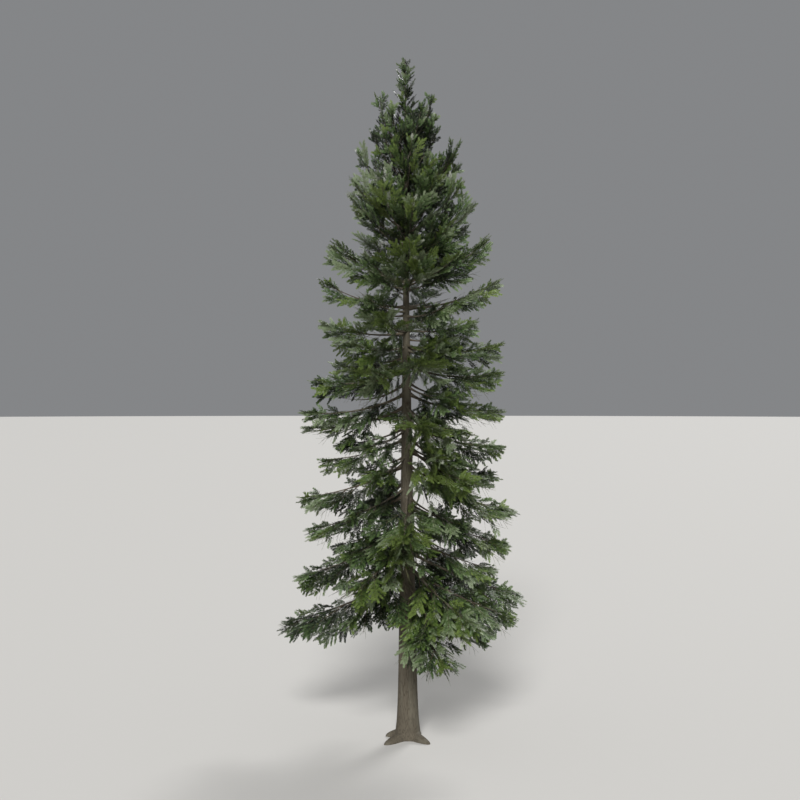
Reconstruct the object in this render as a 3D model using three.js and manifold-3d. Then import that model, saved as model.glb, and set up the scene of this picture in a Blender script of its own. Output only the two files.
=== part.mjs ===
// A fir tree that stands alone: one straight trunk with root flare, tiers of drooping boughs that turn up
// towards the top, and a mass of needles on every bough. Sizes are in millimetres and degrees. +Z is up. The
// origin is the middle of the flat cut at ground level. The tree faces -Y, so its left is -X.
import * as THREE from "three";
import { mergeVertices } from "three/addons/utils/BufferGeometryUtils.js";
import Module from "manifold-3d";

// Trunk
const TREE_HEIGHT = 12000;
const TRUNK_TOP = 10600;
const TRUNK_TOP_RADIUS = 17;
const BREAST_HEIGHT = 1500;
const BREAST_RADIUS = 158;
const TAPER_POWER = 1.15;
const BUTT_SWELL = 55;
const BUTT_HEIGHT = 300;
const LEAN = -50;
const TRUNK_SIDES = 30;

// Root flare: where each root points and how far its toe lies from the axis
const ROOTS = [
  { azimuth: -48, toe: 560 },
  { azimuth: -132, toe: 610 },
  { azimuth: 168, toe: 405 },
  { azimuth: 96, toe: 470 },
  { azimuth: 48, toe: 340 },
];
const ROOT_HEIGHT = 130;
const ROOT_HALF_ANGLE = 15;
const TOE_POWER = 2;
const TRUNK_LEVELS = [0, 40, 75, 100, 120, ROOT_HEIGHT, 450, 900, 2200, 4600, 7600, TRUNK_TOP];

// Boughs: tip height and reach from the trunk's axis, lowest first, on the two sides that make the outline
const LEFT_TIPS = [
  [1890, 2310], [2860, 1975], [3670, 1800], [4240, 1905], [4900, 1560], [5740, 1870], [6300, 1655],
  [7320, 1510], [8050, 1535], [8650, 1340], [9580, 1040], [10410, 900], [11330, 530],
];
const RIGHT_TIPS = [
  [1850, 1500], [2450, 2070], [3430, 1820], [4040, 1905], [4610, 1640], [5140, 1730], [5780, 1765],
  [6440, 1680], [7350, 1270], [8120, 1730], [8755, 1465], [9425, 1255], [10470, 950], [11340, 505],
];
// Front boughs: tip height and turn to the right. They reach the crown's mean outline, as the back ones do.
const FRONT_TIPS = [
  [1640, 18], [2750, -30], [3650, -2], [4600, 32], [5550, 10],
  [6450, -20], [7400, -16], [8600, 2], [9600, -24], [10450, 8],
];
// Back boughs are spaced evenly and fan out by the golden ratio
const BACK = { count: 10, lowest: 1950, highest: 11050, firstTurn: 0.5, turn: 44 };
const GOLDEN_RATIO = 0.618;
const CROWN_BASE = 1900;
const CROWN_RADIUS = 2050;
const CROWN_BULGE = 2.2;
const CROWN_POINT = 0.75;
const SIDE_TURN = 16;
const REACH_SWING = 0.08;

// Bough shape: the slope at the trunk and at the tip, both growing steeper towards the top of the crown
const BASE_SLOPE = { low: -33, high: 46, from: 6200, to: 11300 };
const TIP_SLOPE = { low: -15, high: 76, from: 2000, to: 11300, power: 1.6 };
const LEVEL_OUT = 0.7;
const PATH_STEPS = 10;
const BOUGH_BASE_RADIUS = { fixed: 5, perReach: 0.0125 };
const BOUGH_TIP_RADIUS = 5;
const BOUGH_SIDES = 5;
const BOUGH_STEPS = 3;
// Side boughs below this height carry no needles on their inner part
const BARE_BELOW = 5600;
const BARE_SHARE = 0.32;

// Needle masses: twigs leave the stem in turn, and each widens into a flat spray of needles. Two rows go to
// the sides. Two more hang below the stem low in the crown, and stand above it near the top.
const STEM_SIDES = 4;
const STEM_STEPS = 4;
const STEM_END = 0.78;
const TWIG_SPACING = 128;
const TWIG_COUNT = { least: 5, most: 6 };
const TWIG_FROM = { bare: 0.36, green: 0.18 };
const TWIG_TO = 0.8;
const TWIG_ANGLE = { base: 50, tip: 28 };
const TWIG_LENGTH = { share: 0.47, fixed: 200, swing: 0.21 };
const TWIG_HANG = { low: 26, high: -8, swing: 12 };
const MIDDLE_ANGLE = { base: 64, tip: 38 };
const MIDDLE_LENGTH = 1;
const MIDDLE_SPLAY = 26;
const HANGING_BELOW = 9200;
const SPRAY_WIDTH = { share: 0.3, fixed: 80 };
const SPRAY_KEEL = 0.02;
const SPRAY_KEEL_END = 0.75;
const SPRAY_ROLL = 25;
const SPRAY_TOOTH = { at: 0.64, notchAt: 0.54, notchWidth: 0.4 };
const END_SPRAY_FROM = 0.74;

// Leader: short shoots that climb round the top of the stem
const LEADER_SHOOTS = 13;
const LEADER_SHOOT_LENGTH = { low: 430, high: 150 };
const LEADER_SHOOT_SLOPE = { low: 48, high: 64 };
const LEADER_END_SPRAY = 300;
const GOLDEN_ANGLE = 137.5;

// Gap between pieces that meet, and the least between one mass and another
const CLEARANCE = 0.3;
const SPRAY_CLEARANCE = 5;
// Sizes that a spray is tried at until it is clear
const SPRAY_SIZES = [1, 0.75, 0.5];

// What each seeded draw is for; a twig adds its own number
const DRAW = { turn: 1, reach: 2, hang: 10, length: 30, roll: 50 };

const BARK = new THREE.MeshStandardMaterial({ color: 0x57524a, roughness: 0.9, metalness: 0 });
const NEEDLES = new THREE.MeshStandardMaterial({ color: 0x37442a, roughness: 0.7, metalness: 0 });

const wasm = await Module();
wasm.setup();

const { degToRad, radToDeg, euclideanModulo, lerp, clamp } = THREE.MathUtils;
const UP = new THREE.Vector3(0, 0, 1);

// A repeatable draw from 0 to 1 for one use on one bough
function draw(bough, use) {
  const wave = Math.sin(bough * 127.1 + use * 311.7) * 43758.5453;
  return wave - Math.floor(wave);
}

// The same as a swing either way about nothing
function swing(bough, use, size) {
  return (2 * draw(bough, use) - 1) * size;
}

// A closed geometry as a solid
function solidOf(geometry) {
  geometry.deleteAttribute("normal");
  geometry.deleteAttribute("uv");
  const merged = mergeVertices(geometry, 1e-3);
  return new wasm.Manifold(
    new wasm.Mesh({
      numProp: 3,
      vertProperties: merged.attributes.position.array,
      triVerts: new Uint32Array(merged.index.array),
    }),
  );
}

// A solid as a named mesh of its largest body
function meshOf(name, solid, material) {
  const bodies = solid.decompose().sort((a, b) => b.volume() - a.volume());
  const { vertProperties, triVerts } = bodies[0].getMesh();
  const geometry = new THREE.BufferGeometry();
  geometry.setAttribute("position", new THREE.BufferAttribute(vertProperties, 3));
  geometry.setIndex(new THREE.BufferAttribute(triVerts, 1));
  geometry.computeVertexNormals();
  const mesh = new THREE.Mesh(geometry, material);
  mesh.name = name;
  return mesh;
}

// The trunk's axis at a height: it leans evenly from the ground up
function axisAt(z) {
  return new THREE.Vector3((LEAN * z) / TREE_HEIGHT, 0, z);
}

// The trunk's radius without its roots
function trunkRadius(z) {
  const above = (TRUNK_TOP - z) / (TRUNK_TOP - BREAST_HEIGHT);
  const taper = (BREAST_RADIUS - TRUNK_TOP_RADIUS) * Math.pow(above, TAPER_POWER);
  return TRUNK_TOP_RADIUS + taper + BUTT_SWELL * Math.exp(-z / BUTT_HEIGHT);
}

// How far the roots stand out of the trunk at a height and azimuth
function rootFlare(z, azimuth) {
  const drop = 1 - Math.pow(Math.min(z / ROOT_HEIGHT, 1), TOE_POWER);
  const lobes = ROOTS.map((root) => {
    const turn = euclideanModulo(azimuth - root.azimuth + 180, 360) - 180;
    return (root.toe - trunkRadius(0)) * Math.exp(-Math.pow(turn / ROOT_HALF_ANGLE, 2));
  });
  return drop * Math.max(...lobes);
}

// The whole trunk, grown outwards by a clearance where other pieces are cut to meet it
function trunkSolid(grown) {
  const geometry = new THREE.CylinderGeometry(1, 1, 1, TRUNK_SIDES, TRUNK_LEVELS.length - 1);
  const place = geometry.attributes.position;
  for (let i = 0; i < place.count; i++) {
    const level = Math.round((place.getY(i) + 0.5) * (TRUNK_LEVELS.length - 1));
    const z = TRUNK_LEVELS[level];
    const across = new THREE.Vector3(place.getZ(i), place.getX(i), 0);
    const azimuth = radToDeg(Math.atan2(across.y, across.x));
    const radius = trunkRadius(z) + rootFlare(z, azimuth) + grown;
    const point = axisAt(z).addScaledVector(across, radius);
    place.setXYZ(i, point.x, point.y, point.z);
  }
  return solidOf(geometry);
}

// A tapering limb along a curve, from one share of it to another
function limbSolid(curve, from, to, radiusAt, sides, steps) {
  const geometry = new THREE.CylinderGeometry(1, 1, 1, sides, steps, false, Math.PI / sides);
  const place = geometry.attributes.position;
  for (let i = 0; i < place.count; i++) {
    const share = lerp(from, to, place.getY(i) + 0.5);
    const { point, side, rise } = frameAt(curve, share);
    const radius = radiusAt(share);
    point.addScaledVector(side, place.getZ(i) * radius).addScaledVector(rise, place.getX(i) * radius);
    place.setXYZ(i, point.x, point.y, point.z);
  }
  return solidOf(geometry);
}

// A point on a curve with its three directions: along it, level to its left, and up out of its top
function frameAt(curve, share) {
  const ahead = curve.getTangent(share);
  const level = Math.abs(ahead.z) > 0.999 ? new THREE.Vector3(0, 1, 0) : UP.clone().cross(ahead);
  const side = level.normalize();
  return { point: curve.getPoint(share), ahead, side, rise: ahead.clone().cross(side).normalize() };
}

// A bough's line in the open: it dips away from the trunk, then levels out or turns up to its tip
function boughCurve({ azimuth, tipHeight, reach }) {
  const low = clamp((tipHeight - BASE_SLOPE.from) / (BASE_SLOPE.to - BASE_SLOPE.from), 0, 1);
  const high = clamp((tipHeight - TIP_SLOPE.from) / (TIP_SLOPE.to - TIP_SLOPE.from), 0, 1);
  const baseSlope = lerp(BASE_SLOPE.low, BASE_SLOPE.high, low);
  const tipSlope = lerp(TIP_SLOPE.low, TIP_SLOPE.high, Math.pow(high, TIP_SLOPE.power));
  const line = [new THREE.Vector2(0, 0)];
  for (let i = 0; i < PATH_STEPS; i++) {
    const slope = lerp(baseSlope, tipSlope, Math.pow((i + 0.5) / PATH_STEPS, LEVEL_OUT));
    const step = new THREE.Vector2(1, 0).rotateAround(new THREE.Vector2(), degToRad(slope));
    line.push(line[i].clone().add(step));
  }
  const size = reach / line[PATH_STEPS].x;
  const foot = axisAt(tipHeight - line[PATH_STEPS].y * size);
  const out = new THREE.Vector3(1, 0, 0).applyAxisAngle(UP, degToRad(azimuth));
  return new THREE.CatmullRomCurve3(
    line.map(({ x, y }) => foot.clone().addScaledVector(out, x * size).addScaledVector(UP, y * size)),
  );
}

// A twig that widens into a flat spray of needles, with a tooth swept forward on both edges and a keel below
function spraySolid(root, ahead, across, length) {
  const halfWidth = SPRAY_WIDTH.share * length + SPRAY_WIDTH.fixed;
  const tooth = new THREE.Vector2(SPRAY_TOOTH.at * length, halfWidth);
  const notch = new THREE.Vector2(SPRAY_TOOTH.notchAt * length, SPRAY_TOOTH.notchWidth * halfWidth);
  const mirrored = ({ x, y }) => new THREE.Vector2(x, -y);
  const end = new THREE.Vector2(length, 0);
  const outline = [new THREE.Vector2(0, 0), mirrored(tooth), mirrored(notch), end, notch, tooth];
  const corners = outline.length;
  const down = across.clone().cross(ahead).setLength(SPRAY_KEEL * length);
  const flat = ({ x, y }) => root.clone().addScaledVector(ahead, x).addScaledVector(across, y);
  const keelEnd = end.clone().multiplyScalar(SPRAY_KEEL_END);
  const points = [...outline.map(flat), flat(outline[0]).add(down), flat(keelEnd).add(down)];
  const faces = THREE.ShapeUtils.triangulateShape(outline, []);
  const keelUnder = (i) => corners + (outline[i].x > keelEnd.x / 2 ? 1 : 0);
  for (let i = 0; i < corners; i++) {
    const next = (i + 1) % corners;
    faces.push([next, i, keelUnder(i)]);
    if (keelUnder(i) !== keelUnder(next)) faces.push([next, keelUnder(i), keelUnder(next)]);
  }
  const geometry = new THREE.BufferGeometry().setFromPoints(points);
  geometry.setIndex(faces.flat());
  return solidOf(geometry);
}

// The twigs of one bough, by a seeded rule that gives each its place, direction and length
function twigList({ seed, tipHeight, reach, bare, curve }) {
  const from = bare ? TWIG_FROM.bare : TWIG_FROM.green;
  const fit = Math.round(((TWIG_TO - from) * reach) / TWIG_SPACING);
  const count = clamp(fit, TWIG_COUNT.least, TWIG_COUNT.most);
  const hang = lerp(TWIG_HANG.low, TWIG_HANG.high, tipHeight / TREE_HEIGHT);
  const middle = tipHeight < HANGING_BELOW ? 180 : 0;
  const rows = [
    { clock: 90 + hang, size: 1, angle: TWIG_ANGLE },
    { clock: middle + MIDDLE_SPLAY, size: MIDDLE_LENGTH, angle: MIDDLE_ANGLE },
    { clock: -90 - hang, size: 1, angle: TWIG_ANGLE },
    { clock: middle - MIDDLE_SPLAY, size: MIDDLE_LENGTH, angle: MIDDLE_ANGLE },
  ];
  return Array.from({ length: count }, (_, k) => {
    const share = lerp(from, TWIG_TO, (k + 0.5) / count);
    const { point, ahead, side, rise } = frameAt(curve, share);
    const row = rows[(k + seed) % rows.length];
    const clock = degToRad(row.clock + swing(seed, DRAW.hang + k, TWIG_HANG.swing));
    const radial = side.clone().multiplyScalar(Math.sin(clock)).addScaledVector(rise, Math.cos(clock));
    const open = degToRad(lerp(row.angle.base, row.angle.tip, share));
    const direction = ahead.clone().multiplyScalar(Math.cos(open)).addScaledVector(radial, Math.sin(open));
    const full = reach * TWIG_LENGTH.share * Math.sqrt(1 - share) + TWIG_LENGTH.fixed;
    const room = (reach * (1 - share)) / Math.cos(open);
    const length = Math.min(full, room) * row.size * (1 + swing(seed, DRAW.length + k, TWIG_LENGTH.swing));
    const across = ahead.clone().cross(radial).cross(direction).normalize();
    across.applyAxisAngle(direction, degToRad(swing(seed, DRAW.roll + k, SPRAY_ROLL)));
    return { point, direction, across, length };
  });
}

// A bough's needle-bearing stem, which goes on from the bare limb or leaves the trunk, with its end spray
function stemSolid({ bare, curve, radiusAt }) {
  const start = bare ? BARE_SHARE + CLEARANCE / curve.getLength() : 0;
  const stem = limbSolid(curve, start, STEM_END, radiusAt, STEM_SIDES, STEM_STEPS);
  const root = curve.getPoint(END_SPRAY_FROM);
  const ahead = curve.getPoint(1).sub(root);
  const across = UP.clone().cross(ahead).normalize();
  return stem.add(spraySolid(root, ahead.clone().normalize(), across, ahead.length()));
}

// The crown's mean radius at a height
function crownMean(z) {
  const up = clamp((z - CROWN_BASE) / (TREE_HEIGHT - CROWN_BASE), 0, 1);
  return CROWN_RADIUS * Math.pow(1 - Math.pow(up, CROWN_BULGE), CROWN_POINT);
}

// Every bough, lowest first on each side, with its place in the crown, its line and its taper
function boughList() {
  const boughs = [];
  const add = (name, azimuth, tipHeight, reach, bare) => {
    const seed = boughs.length + 1;
    const baseRadius = BOUGH_BASE_RADIUS.fixed + BOUGH_BASE_RADIUS.perReach * reach;
    const radiusAt = (share) => lerp(baseRadius, BOUGH_TIP_RADIUS, share);
    const curve = boughCurve({ azimuth, tipHeight, reach });
    boughs.push({ name, seed, tipHeight, reach, bare, curve, radiusAt });
  };
  const number = (i) => String(i + 1).padStart(2, "0");
  for (const [side, azimuth, tips] of [["left", 180, LEFT_TIPS], ["right", 0, RIGHT_TIPS]]) {
    tips.forEach(([z, outline], i) => {
      const turn = swing(boughs.length + 1, DRAW.turn, SIDE_TURN);
      add(`${side}_${number(i)}`, azimuth + turn, z, outline / Math.cos(degToRad(turn)), z < BARE_BELOW);
    });
  }
  const backTips = Array.from({ length: BACK.count }, (_, i) => [
    lerp(BACK.lowest, BACK.highest, i / (BACK.count - 1)),
    BACK.turn * (2 * euclideanModulo(BACK.firstTurn + i * GOLDEN_RATIO, 1) - 1),
  ]);
  for (const [side, azimuth, tips] of [["front", -90, FRONT_TIPS], ["back", 90, backTips]]) {
    tips.forEach(([z, turn], i) => {
      const reach = crownMean(z) * (1 + swing(boughs.length + 1, DRAW.reach, REACH_SWING));
      add(`${side}_${number(i)}`, azimuth + turn, z, reach, false);
    });
  }
  return boughs;
}

// The leader: the stem goes on from the trunk's end to the top of the tree, with shoots climbing round it
function leaderSolid() {
  const stem = new THREE.LineCurve3(axisAt(TRUNK_TOP + CLEARANCE), axisAt(TREE_HEIGHT));
  const endShare = 1 - LEADER_END_SPRAY / stem.getLength();
  const radiusAt = (share) => lerp(TRUNK_TOP_RADIUS, BOUGH_TIP_RADIUS, share);
  const pieces = [limbSolid(stem, 0, endShare + STEM_END - END_SPRAY_FROM, radiusAt, STEM_SIDES, 1)];
  for (let k = 0; k < LEADER_SHOOTS; k++) {
    const share = (endShare * (k + 0.5)) / LEADER_SHOOTS;
    const length = lerp(LEADER_SHOOT_LENGTH.low, LEADER_SHOOT_LENGTH.high, share);
    const slope = lerp(LEADER_SHOOT_SLOPE.low, LEADER_SHOOT_SLOPE.high, share);
    const out = new THREE.Vector3(1, 0, 0).applyAxisAngle(UP, degToRad(k * GOLDEN_ANGLE));
    const across = UP.clone().cross(out);
    const ahead = out.applyAxisAngle(across, -degToRad(slope));
    pieces.push(spraySolid(stem.getPoint(share), ahead, across, length));
  }
  pieces.push(spraySolid(stem.getPoint(endShare), UP, new THREE.Vector3(1, 0, 0), LEADER_END_SPRAY));
  return wasm.Manifold.union(pieces);
}

function buildTree() {
  const tree = new THREE.Group();
  tree.add(meshOf("trunk", trunkSolid(0), BARK));
  const trunkSpace = trunkSolid(CLEARANCE);
  const boughs = boughList();
  const leader = { name: "leader", needles: leaderSolid() };
  for (const bough of boughs) {
    bough.needles = stemSolid(bough).subtract(trunkSpace);
    if (bough.bare) {
      const limb = limbSolid(bough.curve, 0, BARE_SHARE, bough.radiusAt, BOUGH_SIDES, BOUGH_STEPS);
      bough.limb = limb.subtract(trunkSpace);
      tree.add(meshOf(`bough_${bough.name}`, bough.limb, BARK));
    }
  }
  // A spray that would touch the trunk, a limb or another mass is a shorter one, or is left off
  const limbs = boughs.filter(({ bare }) => bare).map(({ limb }) => limb);
  for (const bough of boughs) {
    const masses = [leader, ...boughs].filter((other) => other !== bough).map(({ needles }) => needles);
    const others = [trunkSpace, ...limbs, ...masses];
    const isClear = (spray) =>
      others.every((other) => other.minGap(spray, SPRAY_CLEARANCE) >= SPRAY_CLEARANCE);
    const sprays = twigList(bough).map(({ point, direction, across, length }) =>
      SPRAY_SIZES.map((size) => spraySolid(point, direction, across, length * size)).find(isClear),
    );
    bough.needles = wasm.Manifold.union([bough.needles, ...sprays.filter(Boolean)]);
    tree.add(meshOf(`needles_${bough.name}`, bough.needles, NEEDLES));
  }
  tree.add(meshOf("needles_leader", leader.needles, NEEDLES));
  return tree;
}

export default buildTree();
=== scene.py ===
# A fir tree that stands alone, 12 m tall, in metres and degrees. +Z is up, and the origin is the middle of
# the flat cut at ground level. The tree faces -Y, so its left is -X.
import math

import bmesh
import bpy
import numpy as np
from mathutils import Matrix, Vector, noise


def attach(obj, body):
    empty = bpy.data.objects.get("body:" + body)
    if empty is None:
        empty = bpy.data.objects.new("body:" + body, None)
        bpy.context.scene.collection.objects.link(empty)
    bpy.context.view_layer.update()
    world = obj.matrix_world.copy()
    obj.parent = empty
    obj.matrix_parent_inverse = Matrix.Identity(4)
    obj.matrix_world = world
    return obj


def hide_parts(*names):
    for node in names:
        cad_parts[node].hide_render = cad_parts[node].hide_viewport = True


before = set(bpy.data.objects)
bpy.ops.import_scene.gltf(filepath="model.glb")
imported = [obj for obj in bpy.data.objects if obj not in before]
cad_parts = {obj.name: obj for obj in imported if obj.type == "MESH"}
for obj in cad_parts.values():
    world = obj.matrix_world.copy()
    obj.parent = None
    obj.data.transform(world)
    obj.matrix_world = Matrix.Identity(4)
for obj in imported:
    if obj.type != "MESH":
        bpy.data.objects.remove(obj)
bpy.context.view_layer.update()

# Trunk: one straight stem that leans a little to the left, with five low root toes and a flat cut at the
# ground. Its bark is grey-brown, cracked into upright plates at the foot, and smoother higher up, where it is
# plainer and darker with painted shade from the crown.
# It is a sheet rolled round the stem, with the cracks pressed into it, and closed at both ends.
TREE_HEIGHT = 12.0
TRUNK_TOP = 10.6
TRUNK_TOP_RADIUS = 0.017
BREAST_HEIGHT = 1.5
BREAST_RADIUS = 0.158
TAPER_POWER = 1.15
BUTT_SWELL = 0.055
BUTT_HEIGHT = 0.3
LEAN = -0.05
ROOTS = [(-48, 0.560), (-132, 0.610), (168, 0.405), (96, 0.470), (48, 0.340)]
ROOT_HEIGHT = 0.13
ROOT_HALF_ANGLE = 15
TOE_POWER = 2.0
TRUNK_SIDES = 110
TRUNK_LEVELS = 620
LEVEL_POWER = 1.35
PLATE_SIZE = Vector((0.055, 0.055, 0.42))
CRACK_DEPTH = 0.003
CRACK_SHARE = 0.16
GRAIN_SIZE = Vector((0.016, 0.016, 0.03))
GRAIN_DEPTH = 0.0012
SHEET_HALF = 0.5
SEAM = 1e-5
CRACK_EDGE = {"From Max": 0.12}
BARK_GRAIN = {"Scale": 60, "Detail": 6}
GRAIN_SHADE = {"From Min": 0.25, "From Max": 0.75, "To Min": 0.25}
LICHEN_PATCHES = {"Scale": 7, "Detail": 4}
LICHEN_EDGE = {"From Min": 0.5, "From Max": 0.68}
BARK_ROUGHNESS = {"To Min": 0.98, "To Max": 0.8}
BARK_SHINE = 0.25
BUMP_STRENGTH = 0.6
UP = Vector((0, 0, 1))


def lerp(start, end, share):
    return start + (end - start) * share


def axis_at(z):
    return Vector((LEAN * z / TREE_HEIGHT, 0, z))


def trunk_radius(z):
    above = max(TRUNK_TOP - z, 0) / (TRUNK_TOP - BREAST_HEIGHT)
    taper = (BREAST_RADIUS - TRUNK_TOP_RADIUS) * above**TAPER_POWER
    return TRUNK_TOP_RADIUS + taper + BUTT_SWELL * math.exp(-z / BUTT_HEIGHT)


def root_flare(z, azimuth):
    drop = 1 - min(z / ROOT_HEIGHT, 1) ** TOE_POWER
    lobes = []
    for root_azimuth, toe in ROOTS:
        turn = (azimuth - root_azimuth + 180) % 360 - 180
        lobes.append((toe - trunk_radius(0)) * math.exp(-((turn / ROOT_HALF_ANGLE) ** 2)))
    return drop * max(lobes)


def scaled(point, size):
    return Vector((point.x / size.x, point.y / size.y, point.z / size.z))


def bark_relief(point, radius):
    """How far the bark stands out at a point: down in the cracks between plates, with a fine grain on top."""
    stoutness = min(radius / BREAST_RADIUS, 1)
    ridge = abs(noise.noise(scaled(point, PLATE_SIZE)))
    crack = max(1 - ridge / CRACK_SHARE, 0)
    grain = noise.noise(scaled(point, GRAIN_SIZE))
    return stoutness * (GRAIN_DEPTH * grain - CRACK_DEPTH * crack)


def trunk_point(turn, length):
    z = TRUNK_TOP * length**LEVEL_POWER
    azimuth = 360 * turn
    across = Vector((math.cos(math.radians(azimuth)), math.sin(math.radians(azimuth)), 0))
    radius = trunk_radius(z) + root_flare(z, azimuth)
    smooth = axis_at(z) + across * radius
    return smooth + across * bark_relief(smooth, trunk_radius(z))


def rolled_sheet(bm, around, along, place):
    """A flat grid rolled into a tube. place gives the point at a turn and a length, both from 0 to 1."""
    sheet = bmesh.ops.create_grid(bm, x_segments=around, y_segments=along, size=SHEET_HALF)
    for vert in sheet["verts"]:
        vert.co = place(vert.co.x + SHEET_HALF, vert.co.y + SHEET_HALF)


def piece_of(bm, name, material):
    """A finished piece from a bmesh: seams closed, ends filled, faces outwards."""
    bmesh.ops.remove_doubles(bm, verts=bm.verts, dist=SEAM)
    bmesh.ops.holes_fill(bm, edges=bm.edges, sides=0)
    bmesh.ops.recalc_face_normals(bm, faces=bm.faces)
    mesh = bpy.data.meshes.new(name)
    bm.to_mesh(mesh)
    bm.free()
    mesh.shade_smooth()
    mesh.materials.append(material)
    piece = bpy.data.objects.new(name, mesh)
    bpy.context.scene.collection.objects.link(piece)
    return piece


def linear(red, green, blue):
    """A colour given as it looks on a screen, from 0 to 255, in the renderer's own light values."""
    shares = [value / 255 for value in (red, green, blue)]
    return tuple(s / 12.92 if s <= 0.04045 else ((s + 0.055) / 1.055) ** 2.4 for s in shares) + (1.0,)


def new_node(tree, kind, inputs=(), **settings):
    """A new shader node in a tree, with its settings, and with values for some of its inputs."""
    node = tree.nodes.new(kind)
    for name, value in settings.items():
        setattr(node, name, value)
    for name, value in dict(inputs).items():
        node.inputs[name].default_value = value
    return node


def bark_group():
    """Bark as colour, roughness and height: long plates with dark cracks, a fine grain and pale lichen."""
    group = bpy.data.node_groups.new("Bark", "ShaderNodeTree")
    sockets = [
        ("Vector", "INPUT", "NodeSocketVector"),
        ("Plate Colour", "INPUT", "NodeSocketColor"),
        ("Crack Colour", "INPUT", "NodeSocketColor"),
        ("Lichen Colour", "INPUT", "NodeSocketColor"),
        ("Lichen Share", "INPUT", "NodeSocketFloat"),
        ("Plate Scale", "INPUT", "NodeSocketFloat"),
        ("Colour", "OUTPUT", "NodeSocketColor"),
        ("Roughness", "OUTPUT", "NodeSocketFloat"),
        ("Height", "OUTPUT", "NodeSocketFloat"),
    ]
    for name, way, kind in sockets:
        group.interface.new_socket(name=name, in_out=way, socket_type=kind)
    given = new_node(group, "NodeGroupInput")
    result = new_node(group, "NodeGroupOutput")
    plates = new_node(group, "ShaderNodeTexVoronoi", feature="DISTANCE_TO_EDGE")
    crack = new_node(group, "ShaderNodeMapRange", CRACK_EDGE, interpolation_type="SMOOTHSTEP")
    grain = new_node(group, "ShaderNodeTexNoise", BARK_GRAIN)
    shade = new_node(group, "ShaderNodeMapRange", GRAIN_SHADE)
    plate_share = new_node(group, "ShaderNodeMath", operation="MULTIPLY")
    bark = new_node(group, "ShaderNodeMix", data_type="RGBA")
    patches = new_node(group, "ShaderNodeTexNoise", LICHEN_PATCHES)
    grown = new_node(group, "ShaderNodeMapRange", LICHEN_EDGE, interpolation_type="SMOOTHSTEP")
    lichen = new_node(group, "ShaderNodeMix", data_type="RGBA")
    rough = new_node(group, "ShaderNodeMapRange", BARK_ROUGHNESS)
    link = group.links.new
    link(given.outputs["Vector"], plates.inputs["Vector"])
    link(given.outputs["Plate Scale"], plates.inputs["Scale"])
    link(plates.outputs["Distance"], crack.inputs["Value"])
    link(given.outputs["Vector"], grain.inputs["Vector"])
    link(grain.outputs["Fac"], shade.inputs["Value"])
    link(crack.outputs["Result"], plate_share.inputs[0])
    link(shade.outputs["Result"], plate_share.inputs[1])
    link(plate_share.outputs["Value"], bark.inputs["Factor"])
    link(given.outputs["Crack Colour"], bark.inputs["A"])
    link(given.outputs["Plate Colour"], bark.inputs["B"])
    link(given.outputs["Vector"], patches.inputs["Vector"])
    link(patches.outputs["Fac"], grown.inputs["Value"])
    link(given.outputs["Lichen Share"], grown.inputs["To Max"])
    link(grown.outputs["Result"], lichen.inputs["Factor"])
    link(bark.outputs["Result"], lichen.inputs["A"])
    link(given.outputs["Lichen Colour"], lichen.inputs["B"])
    link(plate_share.outputs["Value"], rough.inputs["Value"])
    link(lichen.outputs["Result"], result.inputs["Colour"])
    link(rough.outputs["Result"], result.inputs["Roughness"])
    link(plate_share.outputs["Value"], result.inputs["Height"])
    return group


BARK = bark_group()


def bark_material(name, stretch, scale, plate, crack, lichen, lichen_share, bump):
    """A bark of its own colours. stretch lengthens the plates along Z."""
    material = bpy.data.materials.new(name)
    material.use_nodes = True
    tree = material.node_tree
    shader = tree.nodes["Principled BSDF"]
    shader.inputs["Specular IOR Level"].default_value = BARK_SHINE
    looks = {
        "Plate Colour": linear(*plate),
        "Crack Colour": linear(*crack),
        "Lichen Colour": linear(*lichen),
        "Lichen Share": lichen_share,
        "Plate Scale": scale,
    }
    place = new_node(tree, "ShaderNodeTexCoord")
    mapping = new_node(tree, "ShaderNodeMapping", {"Scale": (1, 1, stretch)})
    bark = new_node(tree, "ShaderNodeGroup", looks, name="Bark", node_tree=BARK)
    relief = new_node(tree, "ShaderNodeBump", {"Strength": BUMP_STRENGTH, "Distance": bump})
    link = tree.links.new
    link(place.outputs["Object"], mapping.inputs["Vector"])
    link(mapping.outputs["Vector"], bark.inputs["Vector"])
    link(bark.outputs["Height"], relief.inputs["Height"])
    link(bark.outputs["Colour"], shader.inputs["Base Color"])
    link(bark.outputs["Roughness"], shader.inputs["Roughness"])
    link(relief.outputs["Normal"], shader.inputs["Normal"])
    return material


def young_and_shaded_by_height(material, low, high, share, tint):
    """The younger bark's plainer colour higher up, darker with painted shade from the crown: none of it below
    low, and a full share above high.
    """
    tree = material.node_tree
    place = new_node(tree, "ShaderNodeTexCoord")
    height = new_node(tree, "ShaderNodeSeparateXYZ")
    young_shade_share = new_node(tree, "ShaderNodeMapRange", {"From Min": low, "From Max": high, "To Max": share})
    young_shade_mix = new_node(tree, "ShaderNodeMix", {"B": linear(*tint)}, data_type="RGBA")
    link = tree.links.new
    link(place.outputs["Object"], height.inputs["Vector"])
    link(height.outputs["Z"], young_shade_share.inputs["Value"])
    link(young_shade_share.outputs["Result"], young_shade_mix.inputs["Factor"])
    link(tree.nodes["Bark"].outputs["Colour"], young_shade_mix.inputs["A"])
    link(young_shade_mix.outputs["Result"], tree.nodes["Principled BSDF"].inputs["Base Color"])


trunk_bark = bark_material(
    "Trunk bark", stretch=0.12, scale=40, plate=(99, 92, 79), crack=(72, 66, 56),
    lichen=(110, 107, 94), lichen_share=0.4, bump=0.003,
)
# Painted shade: the trunk gets a darker, plainer bark from 2.5 m up to 7 m, where the crown shades it.
young_and_shaded_by_height(trunk_bark, low=2.5, high=7, share=0.7, tint=(76, 71, 59))
bm = bmesh.new()
rolled_sheet(bm, TRUNK_SIDES, TRUNK_LEVELS, trunk_point)
trunk = piece_of(bm, "trunk_bark", trunk_bark)
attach(trunk, "root")
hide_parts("trunk")

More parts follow.
